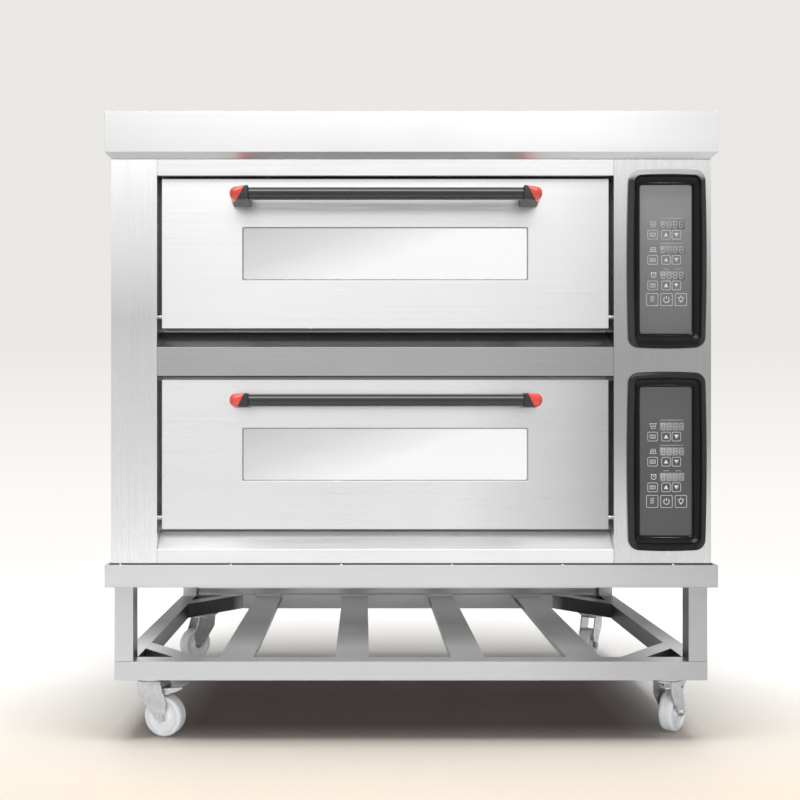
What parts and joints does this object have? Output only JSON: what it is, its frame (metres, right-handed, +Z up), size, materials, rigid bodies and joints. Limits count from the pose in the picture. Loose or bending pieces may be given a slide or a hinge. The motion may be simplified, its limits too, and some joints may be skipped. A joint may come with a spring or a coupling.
{
  "type": "deck oven",
  "caption": "Two-deck electric oven with drop-down windowed doors, bar handles and a side control column, on a wheeled stand with a slatted shelf.",
  "frame": {"origin": "on the floor, under the middle of the bounding box", "axes": "+Z up, +X to the right seen from the front, doors face -Y"},
  "size_m": [1.237, 0.8662, 1.2806],
  "materials": {
    "stainless": "satin",
    "stand_steel": "satin",
    "zinc": "satin",
    "nylon": "satin",
    "liner": "satin",
    "hearth": "matte",
    "element": "satin",
    "mineral_wool": "matte",
    "black_gloss": "gloss",
    "keypad_film": "satin",
    "mirror_glass": "polished",
    "black_tube": "satin",
    "black_plastic": "satin",
    "red_plastic": "gloss",
    "switchgear": "satin"
  },
  "bodies": {
    "root": {"stand_frame": "stand_steel", "shelf_frame": "stand_steel", "caster_plate_front_left": "zinc", "caster_plate_front_right": "zinc", "caster_plate_rear_left": "zinc", "caster_plate_rear_right": "zinc", "base_pan": "stainless", "back_panel": "stainless", "left_side_panel": "stainless", "right_side_panel": "stainless", "left_post": "stainless", "control_column": "stainless", "top_fascia": "stainless", "mid_fascia": "stainless", "base_fascia": "stainless", "top_cap": "stainless", "lower_vent_panel": "stainless", "lower_chamber": "liner", "lower_hearth_plate": "hearth", "lower_bottom_element": "element", "lower_top_element": "element", "lower_insulation": "mineral_wool", "lower_control_bezel": "black_gloss", "lower_keypad": "keypad_film", "upper_vent_panel": "stainless", "upper_chamber": "liner", "upper_hearth_plate": "hearth", "upper_bottom_element": "element", "upper_top_element": "element", "upper_insulation": "mineral_wool", "upper_control_bezel": "black_gloss", "upper_keypad": "keypad_film", "switchgear_panel": "switchgear", "cable_gland": "black_plastic"},
    "front_left_swivel": {"caster_fork_front_left": "zinc"},
    "front_left_wheel": {"caster_wheel_front_left": "nylon"},
    "front_left_brake": {"brake_pedal_front_left": "zinc"},
    "front_right_swivel": {"caster_fork_front_right": "zinc"},
    "front_right_wheel": {"caster_wheel_front_right": "nylon"},
    "front_right_brake": {"brake_pedal_front_right": "zinc"},
    "rear_left_swivel": {"caster_fork_rear_left": "zinc"},
    "rear_left_wheel": {"caster_wheel_rear_left": "nylon"},
    "rear_right_swivel": {"caster_fork_rear_right": "zinc"},
    "rear_right_wheel": {"caster_wheel_rear_right": "nylon"},
    "lower_door": {"lower_door_skin": "stainless", "lower_door_liner": "stainless", "lower_window_glass": "mirror_glass", "lower_handle_bar": "black_tube", "lower_handle_foot_left": "black_plastic", "lower_handle_foot_right": "black_plastic", "lower_handle_cap_left": "red_plastic", "lower_handle_cap_right": "red_plastic"},
    "upper_door": {"upper_door_skin": "stainless", "upper_door_liner": "stainless", "upper_window_glass": "mirror_glass", "upper_handle_bar": "black_tube", "upper_handle_foot_left": "black_plastic", "upper_handle_foot_right": "black_plastic", "upper_handle_cap_left": "red_plastic", "upper_handle_cap_right": "red_plastic"}
  },
  "joints": [
    {"name": "front_left_swivel_turn", "type": "hinge", "parent": "root", "child": "front_left_swivel", "pos_m": [-0.5395, -0.3094, 0.114], "axis": [0, 0, 1], "continuous": true},
    {"name": "front_left_wheel_spin", "type": "hinge", "parent": "front_left_swivel", "child": "front_left_wheel", "pos_m": [-0.51081, -0.31817, 0.0425], "axis": [0.2924, 0.9563, 0], "continuous": true},
    {"name": "front_left_brake_press", "type": "hinge", "parent": "front_left_swivel", "child": "front_left_brake", "pos_m": [-0.50794, -0.31905, 0.0945], "axis": [0.2924, 0.9563, 0], "range_deg": [0, 10]},
    {"name": "front_right_swivel_turn", "type": "hinge", "parent": "root", "child": "front_right_swivel", "pos_m": [0.5395, -0.3094, 0.114], "axis": [0, 0, 1], "continuous": true},
    {"name": "front_right_wheel_spin", "type": "hinge", "parent": "front_right_swivel", "child": "front_right_wheel", "pos_m": [0.55878, -0.28642, 0.0425], "axis": [-0.766, 0.6428, 0], "continuous": true},
    {"name": "front_right_brake_press", "type": "hinge", "parent": "front_right_swivel", "child": "front_right_brake", "pos_m": [0.56071, -0.28412, 0.0945], "axis": [-0.766, 0.6428, 0], "range_deg": [0, 10]},
    {"name": "rear_left_swivel_turn", "type": "hinge", "parent": "root", "child": "rear_left_swivel", "pos_m": [-0.5395, 0.3396, 0.114], "axis": [0, 0, 1], "continuous": true},
    {"name": "rear_left_wheel_spin", "type": "hinge", "parent": "rear_left_swivel", "child": "rear_left_wheel", "pos_m": [-0.56071, 0.31839, 0.0425], "axis": [0.7071, -0.7071, 0], "continuous": true},
    {"name": "rear_right_swivel_turn", "type": "hinge", "parent": "root", "child": "rear_right_swivel", "pos_m": [0.5395, 0.3396, 0.114], "axis": [0, 0, 1], "continuous": true},
    {"name": "rear_right_wheel_spin", "type": "hinge", "parent": "rear_right_swivel", "child": "rear_right_wheel", "pos_m": [0.52272, 0.31473, 0.0425], "axis": [0.829, -0.5592, 0], "continuous": true},
    {"name": "lower_door_hinge", "type": "hinge", "parent": "root", "child": "lower_door", "pos_m": [-0.052, -0.3559, 0.4583], "axis": [1, 0, 0], "range_deg": [0, 90]},
    {"name": "upper_door_hinge", "type": "hinge", "parent": "root", "child": "upper_door", "pos_m": [-0.052, -0.3559, 0.8683], "axis": [1, 0, 0], "range_deg": [0, 90]}
  ]
}
